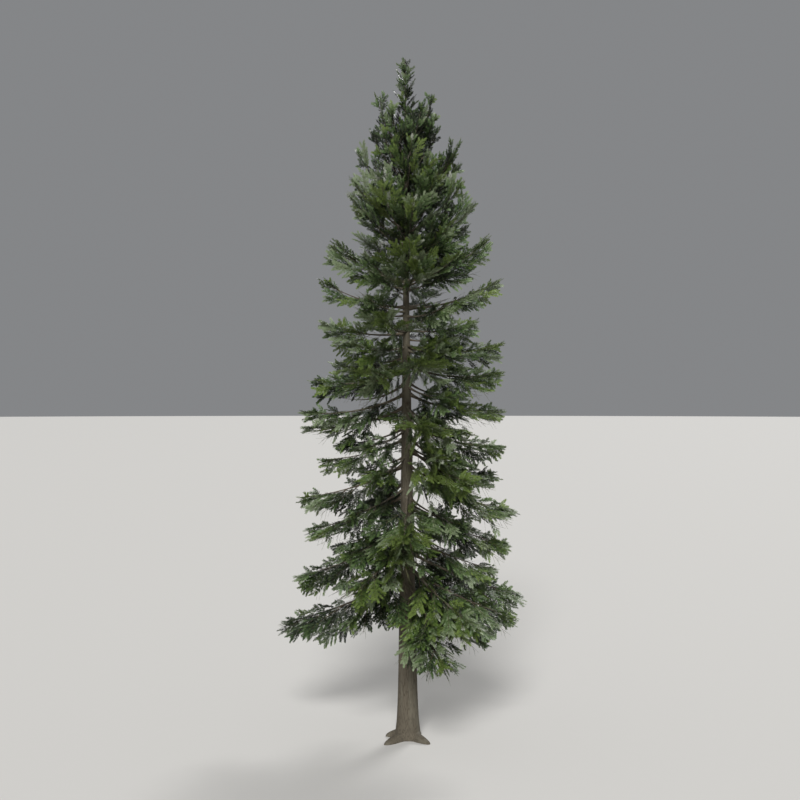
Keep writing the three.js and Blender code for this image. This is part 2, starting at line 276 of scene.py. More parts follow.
# Boughs: tapering limbs, grown out of the trunk with a swollen collar. Low in the crown they dip and level
# out, and towards the top they rise. Two sides make the outline, others face front and back, and shorter
# ones stand between the tiers. Their bark is thin and grey, a sheet rolled round the line of each limb.

# The boughs' tips: the height of each, and its reach across or its turn from straight ahead or behind
LEFT_TIPS = [
    (1.890, 2.310), (2.860, 1.975), (3.670, 1.800), (4.240, 1.905), (4.900, 1.560), (5.740, 1.870),
    (6.300, 1.655), (7.320, 1.510), (8.050, 1.535), (8.650, 1.340), (9.580, 1.040), (10.410, 0.900),
    (11.330, 0.530),
]
RIGHT_TIPS = [
    (1.850, 1.500), (2.450, 2.070), (3.430, 1.820), (4.040, 1.905), (4.610, 1.640), (5.140, 1.730),
    (5.780, 1.765), (6.440, 1.680), (7.350, 1.270), (8.120, 1.730), (8.755, 1.465), (9.425, 1.255),
    (10.470, 0.950), (11.340, 0.505),
]
FRONT_TIPS = [
    (1.640, 18), (2.750, -30), (3.650, -2), (4.600, 32), (5.550, 10), (6.450, -20), (7.400, -16),
    (8.600, 2), (9.600, -24), (10.450, 8),
]
BACK = {"count": 10, "lowest": 1.950, "highest": 11.050, "first_turn": 0.5, "turn": 44}
SECOND_TIPS = {
    "left": [
        (3.340, 1.380), (4.730, 0.920), (5.170, 1.310), (5.470, 1.880), (6.600, 1.360), (9.330, 0.950),
        (9.830, 0.970), (10.750, 0.640),
    ],
    "right": [
        (2.180, 1.920), (2.950, 1.620), (5.620, 0.780), (6.960, 1.700), (7.080, 0.800), (9.050, 1.080),
        (9.780, 1.030), (10.150, 0.990), (10.320, 0.880), (10.780, 0.600), (11.050, 0.560),
    ],
    "front": [(2.250, 34), (6.620, 8), (9.350, 6)],
    "back": [(2.350, -36)],
}
GOLDEN_RATIO = 0.618
CROWN_BASE = 1.9
CROWN_RADIUS = 2.05
CROWN_BULGE = 2.2
CROWN_POINT = 0.75
SIDE_TURN = 16
REACH_SWING = 0.08
BARE_BELOW = 5.6
BASE_SLOPE = {"low": -33, "high": 46, "from": 6.2, "to": 11.3}
TIP_SLOPE = {"low": -15, "high": 76, "from": 2.0, "to": 11.3, "power": 1.6}
LEVEL_OUT = 0.7
PATH_STEPS = 40
BOUGH_BASE_RADIUS = {"fixed": 0.005, "per_reach": 0.0125}
BOUGH_TIP_RADIUS = 0.003
BOUGH_TAPER = 1.4
COLLAR_SWELL = 0.8
COLLAR_LENGTH = 0.05
BOUGH_SIDES = 9
BOUGH_STEPS = 30
KNOB_SIZE = Vector((0.07, 0.07, 0.07))
KNOB_DEPTH = 0.12
BETWEEN_GAP = {"side": 0.65, "facing": 0.42}
BETWEEN_MOST = 3
BETWEEN_SWING = 0.2
BETWEEN_TURN = (36, 64)
BETWEEN_REACH = (0.72, 0.9)
FACING_TURN = 44
DRAW_WAVE = {"seed": 127.1, "use": 311.7, "height": 43758.5453}
DRAW = {"turn": 1, "reach": 2, "height": 3, "hang": 10, "length": 30, "roll": 50, "tone": 90}
FIRST_SEED = {"second": 48, "between": 310}
# Gaps in the crown that show the sky from the front: middle across and up, and half the width and height
VIEWPOINT = np.array((-0.14, -19.6, 5.95))
OPENINGS = [
    (-0.35, 9.00, 0.10, 0.06), (1.25, 8.12, 0.18, 0.10), (1.10, 7.94, 0.20, 0.08), (-0.95, 7.90, 0.28, 0.08),
    (0.83, 7.81, 0.25, 0.07), (-0.91, 7.79, 0.22, 0.06), (0.55, 7.70, 0.34, 0.07), (-1.02, 7.56, 0.24, 0.06),
    (0.97, 7.45, 0.26, 0.07), (-0.52, 7.10, 0.26, 0.06), (1.12, 6.58, 0.24, 0.06), (0.20, 6.24, 0.09, 0.10),
    (1.25, 6.03, 0.28, 0.09), (-0.26, 6.02, 0.14, 0.09), (-0.90, 5.92, 0.60, 0.09), (0.46, 5.90, 0.10, 0.07),
    (-0.92, 5.77, 0.26, 0.05), (1.15, 5.52, 0.48, 0.11), (-0.44, 5.48, 0.24, 0.11), (-1.60, 5.34, 0.22, 0.07),
    (-1.14, 5.34, 0.14, 0.08), (0.45, 5.30, 0.07, 0.05), (-1.50, 5.22, 0.36, 0.09), (-1.30, 4.99, 0.26, 0.08),
    (-0.96, 4.97, 0.16, 0.07), (0.18, 4.95, 0.08, 0.20), (0.21, 4.90, 0.09, 0.15), (-1.30, 4.42, 0.36, 0.09),
    (1.37, 4.32, 0.34, 0.09), (0.47, 4.25, 0.13, 0.08), (0.50, 4.16, 0.12, 0.10), (0.30, 4.15, 0.14, 0.10),
    (-1.44, 3.90, 0.40, 0.09), (1.72, 3.78, 0.18, 0.09), (1.45, 3.74, 0.26, 0.09), (-1.18, 3.50, 0.28, 0.08),
    (-1.58, 3.42, 0.18, 0.09), (0.55, 3.38, 0.18, 0.09), (0.20, 3.16, 0.10, 0.12), (1.10, 3.10, 0.22, 0.08),
    (1.62, 3.10, 0.22, 0.08), (-1.28, 2.50, 0.42, 0.10), (1.72, 1.88, 0.16, 0.10), (-0.68, 1.86, 0.20, 0.09),
    (0.78, 1.70, 0.26, 0.08), (-0.52, 1.60, 0.24, 0.12), (1.10, 1.53, 0.16, 0.15), (-0.36, 1.45, 0.18, 0.16),
    (0.95, 1.40, 0.22, 0.10), (-0.26, 1.26, 0.16, 0.14), (0.45, 1.02, 0.45, 0.10),
]
# Lengths of the trunk that the boughs in front of it leave in view, in the same terms
TRUNK_VIEWS = [
    (0.00, 7.54, 0.07, 0.18), (0.00, 6.92, 0.07, 0.22), (0.00, 6.00, 0.07, 0.32), (-0.02, 4.75, 0.10, 0.48),
    (-0.01, 2.66, 0.11, 0.42),
]
# Points along the inner stretch of a shorter bough: with as many of them in gaps as the limit, it is left out
GAP_STRETCH = (0.25, 0.9)
GAP_POINTS = 14
GAP_LIMIT = 3


def draw(seed, use):
    """A repeatable draw from 0 to 1 for one use on one bough."""
    wave = np.sin(seed * DRAW_WAVE["seed"] + use * DRAW_WAVE["use"]) * DRAW_WAVE["height"]
    return wave - np.floor(wave)


def swing(seed, use, size):
    return (2 * draw(seed, use) - 1) * size


def clamp(value, low=0.0, high=1.0):
    return min(max(value, low), high)


def in_opening(points):
    """Which points lie in one of the gaps as seen from the front, or hide a length of trunk that shows."""
    sight = points - VIEWPOINT
    seen = VIEWPOINT + sight * (-VIEWPOINT[1] / sight[:, 1:2])
    inside = np.zeros(len(points), bool)
    for gaps, where in ((OPENINGS, True), (TRUNK_VIEWS, points[:, 1] < 0)):
        for x, z, half_width, half_height in gaps:
            across = (seen[:, 0] - x) / half_width
            up = (seen[:, 2] - z) / half_height
            inside |= where & (across**2 + up**2 < 1)
    return inside


class Bough:
    """A limb's place in the crown and its line, from the trunk's axis to its tip."""

    def __init__(self, mass, seed, azimuth, tip_height, reach, bare):
        self.mass, self.seed, self.tip_height, self.reach, self.bare = mass, seed, tip_height, reach, bare
        low = clamp((tip_height - BASE_SLOPE["from"]) / (BASE_SLOPE["to"] - BASE_SLOPE["from"]))
        high = clamp((tip_height - TIP_SLOPE["from"]) / (TIP_SLOPE["to"] - TIP_SLOPE["from"]))
        base_slope = lerp(BASE_SLOPE["low"], BASE_SLOPE["high"], low)
        tip_slope = lerp(TIP_SLOPE["low"], TIP_SLOPE["high"], high ** TIP_SLOPE["power"])
        self.middles = (np.arange(PATH_STEPS) + 0.5) / PATH_STEPS
        self.slopes = np.radians(lerp(base_slope, tip_slope, self.middles**LEVEL_OUT))
        size = reach / np.cos(self.slopes).sum()
        self.length = size * PATH_STEPS
        self.shares = np.linspace(0, 1, PATH_STEPS + 1)
        self.run = np.append(0, np.cos(self.slopes).cumsum()) * size
        self.rise = np.append(0, np.sin(self.slopes).cumsum()) * size
        self.foot = np.array(axis_at(tip_height - self.rise[-1]))
        self.out = np.array((math.cos(math.radians(azimuth)), math.sin(math.radians(azimuth)), 0))
        self.side = np.array((-self.out[1], self.out[0], 0))
        self.base_radius = BOUGH_BASE_RADIUS["fixed"] + BOUGH_BASE_RADIUS["per_reach"] * reach

    def point(self, share):
        run = np.interp(share, self.shares, self.run)[..., None]
        rise = np.interp(share, self.shares, self.rise)[..., None]
        return self.foot + self.out * run + np.array(UP) * rise

    def ahead(self, share):
        slope = np.interp(share, self.middles, self.slopes)[..., None]
        return self.out * np.cos(slope) + np.array(UP) * np.sin(slope)

    def radius(self, share):
        from_bark = max(share * self.reach - trunk_radius(self.foot[2]), 0)
        collar = COLLAR_SWELL * math.exp(-from_bark / COLLAR_LENGTH)
        return lerp(BOUGH_TIP_RADIUS, self.base_radius, (1 - share) ** BOUGH_TAPER) * (1 + collar)


def crown_mean(z):
    """The crown's mean radius at a height."""
    up = clamp((z - CROWN_BASE) / (TREE_HEIGHT - CROWN_BASE))
    return CROWN_RADIUS * (1 - up**CROWN_BULGE) ** CROWN_POINT


def back_tips():
    """Tips at even heights on the far side, fanned out so that none stands straight above the last."""
    heights = np.linspace(BACK["lowest"], BACK["highest"], BACK["count"])
    fan = (BACK["first_turn"] + np.arange(BACK["count"]) * GOLDEN_RATIO) % 1
    return list(zip(heights, BACK["turn"] * (2 * fan - 1)))


SIDES = (("left", 180, LEFT_TIPS), ("right", 0, RIGHT_TIPS))
FACINGS = (("front", -90, FRONT_TIPS), ("back", 90, back_tips()))


def mass_name(side, number):
    return f"{side}_{number:02}"


def mass_below(side, tips, z):
    """The highest mass of a side whose tip lies no higher than z, or else its lowest."""
    return mass_name(side, max(sum(height <= z for height, _ in tips), 1))


def side_bough(mass, seed, azimuth, z, outline):
    """A bough of the left or right that reaches the outline, however far it is turned away from the side."""
    turn = swing(seed, DRAW["turn"], SIDE_TURN)
    reach = outline / math.cos(math.radians(turn))
    return Bough(mass, seed, azimuth + turn, z, reach, z < BARE_BELOW)


def main_boughs():
    """The boughs of the two sides and those that face front and back, in the order of their seeds."""
    grown = []
    for side, azimuth, tips in SIDES:
        for number, (z, outline) in enumerate(tips, 1):
            grown.append(side_bough(mass_name(side, number), len(grown) + 1, azimuth, z, outline))
    for side, azimuth, tips in FACINGS:
        for number, (z, turn) in enumerate(tips, 1):
            seed = len(grown) + 1
            reach = crown_mean(z) * (1 + swing(seed, DRAW["reach"], REACH_SWING))
            grown.append(Bough(mass_name(side, number), seed, azimuth + turn, z, reach, False))
    return grown


def second_boughs(first_seed):
    """Further boughs that show in the outline, each a part of the mass below it."""
    grown = []
    for side, azimuth, tips in SIDES:
        for z, outline in SECOND_TIPS[side]:
            mass = mass_below(side, tips, z)
            grown.append(side_bough(mass, first_seed + len(grown), azimuth, z, outline))
    for side, azimuth, tips in FACINGS:
        for z, turn in SECOND_TIPS[side]:
            mass = mass_below(side, tips, z)
            grown.append(Bough(mass, first_seed + len(grown), azimuth + turn, z, crown_mean(z), False))
    return grown


def between_heights(low, high, gap, seed):
    """Heights of the boughs between two tiers: more of them where the tiers lie far apart."""
    count = int(clamp(round((high - low) / gap), 1, BETWEEN_MOST))
    places = [i + 0.5 + swing(seed + i, DRAW["height"], BETWEEN_SWING) for i in range(count)]
    return [lerp(low, high, place / count) for place in places]


def between_boughs(first_seed):
    """Shorter boughs between the tiers, turned away from the sides, that belong to the mass below them."""
    grown = []

    def add(mass, azimuth, z, turn, outline):
        seed = first_seed + len(grown)
        reach = outline * lerp(*BETWEEN_REACH, draw(seed, DRAW["reach"]))
        grown.append(Bough(mass, seed, azimuth + turn, z, reach, False))

    for side, azimuth, tips in SIDES:
        heights, outlines = zip(*tips)
        for i in range(len(tips) - 1):
            for hand in (-1, 1):
                gap = BETWEEN_GAP["side"] * outlines[i]
                for z in between_heights(heights[i], heights[i + 1], gap, first_seed + len(grown)):
                    turn = hand * lerp(*BETWEEN_TURN, draw(first_seed + len(grown), DRAW["turn"]))
                    add(mass_name(side, i + 1), azimuth, z, turn, np.interp(z, heights, outlines))
    for side, azimuth, tips in FACINGS:
        heights = [z for z, _ in tips]
        for i in range(len(tips) - 1):
            gap = BETWEEN_GAP["facing"] * crown_mean(heights[i])
            for z in between_heights(heights[i], heights[i + 1], gap, first_seed + len(grown)):
                turn = FACING_TURN * (2 * draw(first_seed + len(grown), DRAW["turn"]) - 1)
                add(mass_name(side, i + 1), azimuth, z, turn, crown_mean(z))
    stretch = np.linspace(*GAP_STRETCH, GAP_POINTS)
    return [bough for bough in grown if in_opening(bough.point(stretch)).sum() < GAP_LIMIT]


boughs = main_boughs()
boughs += second_boughs(FIRST_SEED["second"])
boughs += between_boughs(FIRST_SEED["between"])


def limb_point(bough):
    """Where a bough's bark is at a turn round it and a length along it. Its tip closes to a point."""

    def place(turn, length):
        share = np.float64(length)
        ahead = Vector(bough.ahead(share))
        side = Vector(bough.side)
        clock = 2 * math.pi * turn
        across = side * math.cos(clock) + ahead.cross(side) * math.sin(clock)
        middle = Vector(bough.point(share))
        radius = bough.radius(length) if length < 1 else 0
        knob = KNOB_DEPTH * noise.noise(scaled(middle + across * radius, KNOB_SIZE))
        return middle + across * radius * (1 + knob)

    return place


bough_bark = bark_material(
    "Bough bark", stretch=1, scale=45, plate=(104, 96, 82), crack=(66, 58, 48),
    lichen=(126, 124, 108), lichen_share=0.5, bump=0.003,
)
bm = bmesh.new()
for bough in boughs:
    rolled_sheet(bm, BOUGH_SIDES, BOUGH_STEPS, limb_point(bough))
limbs = piece_of(bm, "bough_bark", bough_bark)
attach(limbs, "root")
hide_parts(*sorted({f"bough_{bough.mass}" for bough in boughs if bough.bare}))

# Leader: the stem goes on from the trunk's end to the top of the tree, as thin as a finger. It has the bark
# of the boughs, and is a sheet rolled round the stem like theirs.


def leader_point(turn, length):
    z = lerp(TRUNK_TOP, TREE_HEIGHT, length)
    radius = lerp(TRUNK_TOP_RADIUS, BOUGH_TIP_RADIUS, length) if length < 1 else 0
    clock = 2 * math.pi * turn
    return axis_at(z) + Vector((math.cos(clock), math.sin(clock), 0)) * radius


bm = bmesh.new()
rolled_sheet(bm, BOUGH_SIDES, BOUGH_STEPS, leader_point)
leader = piece_of(bm, "leader_bark", bough_bark)
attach(leader, "root")

# Twigs: they leave each bough in turn to its sides, below it and above it, and others climb round the upper
# stem. Each sags or turns up, and bears thin shoots in a flat herringbone. Their bark is thin, grey or brown
# on twigs and olive on shoots. All are three-sided tubes, joined.
TWIG_SPACING = 0.06
TWIG_COUNT = (9, 26)
TWIG_FROM = {"bare": 0.36, "covered": 0.18}
TWIG_TO = 0.9
TIP_ALLOWANCE = 0.085
END_FROM = 0.74
ABOVE, BESIDE, BELOW = 0, 90, 180
TWIG_ANGLE = (46, 24)
MIDDLE_ANGLE = (44, 24)
TWIG_LENGTH = {"share": 0.4, "fixed": 0.18, "swing": 0.21}
SLIM = {"masses": ("left_06", "left_09", "right_10"), "share": 0.76}
TWIG_HANG = {"low": 26, "high": -8, "swing": 12}
MIDDLE_LENGTH = 0.92
MIDDLE_SPLAY = 26
OVER_LENGTH = 0.38
OVER_SPLAY = 38
HANGING_BELOW = 9.2
TWIG_ROLL = 25
TWIG_SAG = (-0.1, 0.22)
TWIG_MIDDLE = 0.5
TWIG_STEPS = 4
TWIG_SIDES = 3
TWIG_RADIUS = (0.0055, 0.002)
FULL_TWIG = 0.6
TWIG_STOUTNESS = (0.5, 1.2)
STEM_TWIGS = {"from": 8.0, "count": 76, "length": (0.58, 0.20), "slope": (30, 58), "share": (0.1, 1)}
LEADER_END_SPRAY = 0.3
GOLDEN_ANGLE = 137.5
SHOOT_SPACING = 0.062
SHOOT_LEAST = 2
SHOOT_STRETCH = (0.12, 0.95)
SHOOT_ANGLE = (37, 20)
SHOOT_ANGLE_SWING = 8
SHOOT_LENGTH = (0.3, 0.22)
SHOOT_FIT = (0.5, 1.15)
SHOOT_SWING = 0.25
SHOOT_TILT = 0.16
SHOOT_SAG = 0.5
SHOOT_PAST = 0.08
SHOOT_SIDES = 3
SHOOT_RADIUS = (0.0026, 0.0012)
TWIG_BARKS = [("Twig grey", (92, 86, 74), 0.85), ("Twig brown", (84, 70, 54), 0.8)]
SHOOT_BARK = ("Twig olive", (84, 88, 54), 0.75)
PLAIN_SHINE = 0.4
RANDOM_SEED = 31

random = np.random.default_rng(RANDOM_SEED)


def unit(vectors):
    return vectors / np.linalg.norm(vectors, axis=-1, keepdims=True)


def about(vectors, axes, angles):
    """Vectors turned about unit axes by angles in degrees."""
    angles = np.radians(angles)[:, None]
    along = (vectors * axes).sum(axis=1, keepdims=True) * axes
    return along + (vectors - along) * np.cos(angles) + np.cross(axes, vectors) * np.sin(angles)


def each(counts):
    """The owner's number and the place in its own row of each of so many things."""
    owner = np.repeat(np.arange(len(counts)), counts)
    first = np.repeat(np.cumsum(counts) - counts, counts)
    return owner, np.arange(len(owner)) - first


class Rows:
    """Things of one kind, gathered from groups, with one array for each of their values."""

    def __init__(self, groups):
        self.keys = list(groups[0])
        for key in self.keys:
            setattr(self, key, np.concatenate([group[key] for group in groups]))

    def keep(self, chosen):
        for key in self.keys:
            setattr(self, key, getattr(self, key)[chosen])


def bough_twigs(number, bough):
    """A bough's twigs, which leave it in turn to its two sides, below it and above it."""
    start = TWIG_FROM["bare" if bough.bare else "covered"]
    count = int(clamp(round((TWIG_TO - start) * bough.reach / TWIG_SPACING), *TWIG_COUNT))
    order = np.arange(count)
    hang = lerp(TWIG_HANG["low"], TWIG_HANG["high"], bough.tip_height / TREE_HEIGHT)
    middle = BELOW if bough.tip_height < HANGING_BELOW else ABOVE
    over = middle + 180
    rows = [
        (BESIDE + hang, 1, *TWIG_ANGLE),
        (middle + MIDDLE_SPLAY, MIDDLE_LENGTH, *MIDDLE_ANGLE),
        (over + OVER_SPLAY, OVER_LENGTH, *TWIG_ANGLE),
        (-BESIDE - hang, 1, *TWIG_ANGLE),
        (middle - MIDDLE_SPLAY, MIDDLE_LENGTH, *MIDDLE_ANGLE),
        (over - OVER_SPLAY, OVER_LENGTH, *TWIG_ANGLE),
    ]
    clocks, size, base_angle, tip_angle = np.array(rows)[(order + bough.seed) % len(rows)].T
    clock = np.radians(clocks + swing(bough.seed, DRAW["hang"] + order, TWIG_HANG["swing"]))[:, None]
    share = lerp(start, TWIG_TO, (order + 0.5) / count)
    ahead = bough.ahead(share)
    radial = bough.side * np.sin(clock) + np.cross(ahead, bough.side) * np.cos(clock)
    opening = np.radians(lerp(base_angle, tip_angle, share))[:, None]
    direction = ahead * np.cos(opening) + radial * np.sin(opening)
    full = bough.reach * TWIG_LENGTH["share"] * np.sqrt(1 - share) + TWIG_LENGTH["fixed"]
    room = np.maximum((1 - share) * bough.length - TIP_ALLOWANCE, TIP_ALLOWANCE) / np.cos(opening[:, 0])
    spread = 1 + swing(bough.seed, DRAW["length"] + order, TWIG_LENGTH["swing"])
    slim = SLIM["share"] if bough.mass in SLIM["masses"] else 1
    across = unit(np.cross(np.cross(ahead, radial), direction))
    return {
        "bough": np.full(count, number),
        "root": bough.point(share),
        "ahead": direction,
        "across": about(across, direction, swing(bough.seed, DRAW["roll"] + order, TWIG_ROLL)),
        "length": np.minimum(full * spread, room) * size * slim,
        "sag": np.full(count, lerp(*TWIG_SAG, bough.tip_height / TREE_HEIGHT)),
        "share": share,
    }


def bough_end(number, bough):
    """The end of a bough, which bears shoots as a twig does."""
    root, tip = bough.point(np.array((END_FROM, 1 - TIP_ALLOWANCE / bough.length)))
    return {
        "bough": np.full(1, number),
        "root": root[None],
        "ahead": unit(tip - root)[None],
        "across": bough.side[None],
        "length": np.linalg.norm(tip - root)[None],
        "sag": np.zeros(1),
        "share": np.ones(1),
    }


def stem_twigs(number):
    """Twigs that climb round the upper stem, with the stem's own end as the last of them."""
    order = np.arange(STEM_TWIGS["count"])
    share = (order + 0.5) / STEM_TWIGS["count"]
    azimuth = np.radians(order * GOLDEN_ANGLE)
    slope = np.radians(lerp(*STEM_TWIGS["slope"], share))
    out = np.stack((np.cos(azimuth), np.sin(azimuth), 0 * azimuth), axis=1)
    heights = lerp(STEM_TWIGS["from"], TREE_HEIGHT - LEADER_END_SPRAY, share)
    roots = [np.array(axis_at(z)) for z in heights]
    end = np.array(axis_at(TREE_HEIGHT - LEADER_END_SPRAY))
    ahead = out * np.cos(slope)[:, None] + np.array(UP) * np.sin(slope)[:, None]
    return {
        "bough": np.full(len(share) + 1, number),
        "root": np.vstack((roots, end)),
        "ahead": np.vstack((ahead, UP)),
        "across": np.vstack((np.cross(np.array(UP), out), (1, 0, 0))),
        "length": np.append(lerp(*STEM_TWIGS["length"], share), LEADER_END_SPRAY - TIP_ALLOWANCE),
        "sag": np.zeros(len(share) + 1),
        "share": np.append(lerp(*STEM_TWIGS["share"], share), 1),
    }


twig_groups = []
for number, bough in enumerate(boughs):
    twig_groups += [bough_twigs(number, bough), bough_end(number, bough)]
twig_groups.append(stem_twigs(len(boughs)))
twigs = Rows(twig_groups)
twigs.keep(~in_opening(twigs.root + twigs.ahead * (TWIG_MIDDLE * twigs.length)[:, None]))


def twig_point(owner, share):
    """Points at shares along twigs, which sag or rise with the square of the share."""
    bend = np.array(UP) * (twigs.sag[owner] * share**2)[:, None]
    return twigs.root[owner] + (twigs.ahead[owner] * share[:, None] + bend) * twigs.length[owner][:, None]


def twig_ahead(owner, share):
    return unit(twigs.ahead[owner] + np.array(UP) * (2 * twigs.sag[owner] * share)[:, None])


def tubes(lines, radii, across, sides):
    """Tapering tubes along lines of points, as joined points and triangles."""
    count, steps = lines.shape[:2]
    ahead = unit(lines[:, -1] - lines[:, 0])
    side = unit(across - (across * ahead).sum(axis=1, keepdims=True) * ahead)
    rise = np.cross(ahead, side)
    clock = 2 * np.pi * np.arange(sides) / sides
    ring = side[:, None] * np.cos(clock)[None, :, None] + rise[:, None] * np.sin(clock)[None, :, None]
    points = lines[:, :, None] + ring[:, None] * radii[:, :, None, None]
    corner = np.arange(count * steps * sides).reshape(count, steps, sides)
    low, high = corner[:, :-1], corner[:, 1:]
    low_next, high_next = np.roll(low, -1, axis=2), np.roll(high, -1, axis=2)
    faces = np.stack((low, low_next, high_next, low, high_next, high), axis=-1)
    return points.reshape(-1, 3), faces.reshape(-1, 3)


def joined_piece(name, points, triangles, materials, dealt):
    """One piece from arrays of points and triangles, with a material dealt to each triangle."""
    mesh = bpy.data.meshes.new(name)
    mesh.vertices.add(len(points))
    mesh.vertices.foreach_set("co", points.astype(np.float32).ravel())
    mesh.loops.add(triangles.size)
    mesh.loops.foreach_set("vertex_index", triangles.astype(np.int32).ravel())
    mesh.polygons.add(len(triangles))
    mesh.polygons.foreach_set("loop_start", np.arange(0, triangles.size, 3, dtype=np.int32))
    mesh.polygons.foreach_set("material_index", dealt.astype(np.int32))
    mesh.update(calc_edges=True)
    for material in materials:
        mesh.materials.append(material)
    piece = bpy.data.objects.new(name, mesh)
    bpy.context.scene.collection.objects.link(piece)
    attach(piece, "root")
    return piece


def plain_material(name, colour, roughness):
    material = bpy.data.materials.new(name)
    material.use_nodes = True
    shader = material.node_tree.nodes["Principled BSDF"]
    shader.inputs["Base Color"].default_value = linear(*colour)
    shader.inputs["Roughness"].default_value = roughness
    shader.inputs["Specular IOR Level"].default_value = PLAIN_SHINE
    return material


twig_materials = [plain_material(*bark) for bark in [*TWIG_BARKS, SHOOT_BARK]]
every_twig = np.arange(len(twigs.length))
steps = np.linspace(0, 1, TWIG_STEPS)
twig_lines = np.stack([twig_point(every_twig, np.full(len(every_twig), step)) for step in steps], axis=1)
stoutness = np.clip(twigs.length / FULL_TWIG, *TWIG_STOUTNESS)
twig_radii = stoutness[:, None] * lerp(*TWIG_RADIUS, steps)[None]
twig_points, twig_faces = tubes(twig_lines, twig_radii, twigs.across, TWIG_SIDES)
twig_bark = random.integers(0, len(TWIG_BARKS), len(every_twig))
twig_tint = np.repeat(twig_bark, len(twig_faces) // len(every_twig))

shoot_counts = np.round(twigs.length * (1 - SHOOT_STRETCH[0]) / SHOOT_SPACING)
shoot_counts = np.maximum(shoot_counts, SHOOT_LEAST).astype(int)
shoot_twig, shoot_order = each(shoot_counts)
shoot_share = lerp(*SHOOT_STRETCH, (shoot_order + 0.5) / shoot_counts[shoot_twig])
shoot_hand = np.where((shoot_order + shoot_twig) % 2, 1.0, -1.0)
shoot_root = twig_point(shoot_twig, shoot_share)
shoot_angle = random.uniform(-SHOOT_ANGLE_SWING, SHOOT_ANGLE_SWING, len(shoot_twig))
shoot_angle = np.radians(lerp(*SHOOT_ANGLE, shoot_share) + shoot_angle)[:, None]
twig_heading = twig_ahead(shoot_twig, shoot_share)
shoot_side = twigs.across[shoot_twig] * shoot_hand[:, None]
shoot_ahead = twig_heading * np.cos(shoot_angle) + shoot_side * np.sin(shoot_angle)
shoot_lift = random.uniform(-SHOOT_TILT, SHOOT_TILT, len(shoot_twig)) + SHOOT_SAG * twigs.sag[shoot_twig]
shoot_ahead = unit(shoot_ahead + np.array(UP) * shoot_lift[:, None])
shoot_fit = np.clip(twigs.length[shoot_twig] / FULL_TWIG, *SHOOT_FIT)
shoot_length = lerp(*SHOOT_LENGTH, shoot_share) * shoot_fit
shoot_length *= 1 + random.uniform(-SHOOT_SWING, SHOOT_SWING, len(shoot_twig))
shoot_length = np.minimum(shoot_length, (1 - shoot_share) * twigs.length[shoot_twig] + SHOOT_PAST)
shoot_line = shoot_ahead * shoot_length[:, None]
shoot_lines = np.stack((shoot_root, shoot_root + shoot_line), axis=1)
shoot_radii = np.tile(SHOOT_RADIUS, (len(shoot_twig), 1))
shoot_points, shoot_faces = tubes(shoot_lines, shoot_radii, twig_heading, SHOOT_SIDES)
shoot_tint = np.full(len(shoot_faces), len(TWIG_BARKS))
twig_piece = joined_piece(
    "twigs",
    np.vstack((twig_points, shoot_points)),
    np.vstack((twig_faces, shoot_faces + len(twig_points))),
    twig_materials,
    np.append(twig_tint, shoot_tint),
)

# Needles: stiff, waxy blades with a raised rib, in two loose ranks along every shoot and the outer part of
# every twig and bough, pointing forwards. They are dark on old shoots, pale on young tips and yellower on
# some twigs. Painted light and shade are dealt into their colours as well: paler and yellower on the front
# boughs, darker deep in the crown and at the top, darker low down (where the low boughs' own shade needles
# are darker too), and a few near-white sprays as painted glints. Those of one part of the crown are joined,
# with colours dealt out along each spray.
NEEDLE_SPACING = 0.0125
LEAST_PAIRS = 3
NEEDLE_LENGTH = 0.058
LENGTH_SPREAD = (0.8, 1.15)
END_LENGTH = {"first": 1.05, "loss": 0.3, "power": 3}
NEEDLE_HALF_WIDTH = 0.0072
NEEDLE_WIDEST = 0.42
WIDTH_SCATTER = 0.22
NEEDLE_ANGLE = (54, 16)
ANGLE_SWING = 7
ANGLE_SHARE = 0.3
NEEDLE_LIFT = 12
NEEDLE_SPREAD = 24
ROUND_SPREAD = 95
NEEDLE_FOLD = 0.35
RIB_UPWARDS = 1e-9
BEARING_FROM = 0.2
BEARING_STEPS = 3
LIMB_BEARING = (0.35, 0.78)
LIMB_STEPS = 5
SPRAY_MIDDLE = 0.6
AGE_ALONG = {"bough": 0.6, "twig": 0.4}
GREY_GREENS = [(16, 26, 11), (35, 50, 25), (56, 75, 40), (75, 96, 54), (93, 112, 72), (116, 129, 98)]
YELLOW_GREENS = [(24, 36, 13), (50, 68, 28), (75, 95, 42), (97, 115, 56)]
# Painted glints: a few sprays get these pale, near-white greens in place of highlights.
GLINT_GREENS = [(52, 62, 44), (88, 98, 78), (124, 132, 112), (156, 161, 146)]
NEEDLE_ROUGHNESS = 0.4
# Yellow-green twigs fall at random on every side. The front boughs get more of them as painted light on the
# lit front.
YELLOW_SHARE = {"front": 0.58, "back": 0.26, "left": 0.26, "right": 0.26, "leader": 0.26}
GLINT_SHARE = 0.022
AGE_SHARE = 0.28
BOUGH_SHARE = 0.08
HIGH_BOUGH_SHARE = 0.22
TWIG_SHARE = 0.34
PLACE_SHARE = 0.22
SPRAY_SHARE = 1 - AGE_SHARE - BOUGH_SHARE - TWIG_SHARE - PLACE_SHARE
# Painted light by side: the front boughs' needles get paler greens, and those of the left and right a little
# darker ones.
PAINTED_LIGHT_BY_SIDE = {"front": 0.1, "back": 0, "left": -0.02, "right": -0.02, "leader": 0}
# Needles darker low down, partly from the low boughs' own darker shade needles and partly as painted shade,
# and darker at the top as painted shade.
PAINTED_SHADE_BY_HEIGHT = [(1.8, -0.12), (2.6, -0.1), (5.5, 0.01), (7.5, 0.01), (9.5, -0.08), (11, -0.15), (12, -0.1)]
HIGH_CROWN = (7, 9)
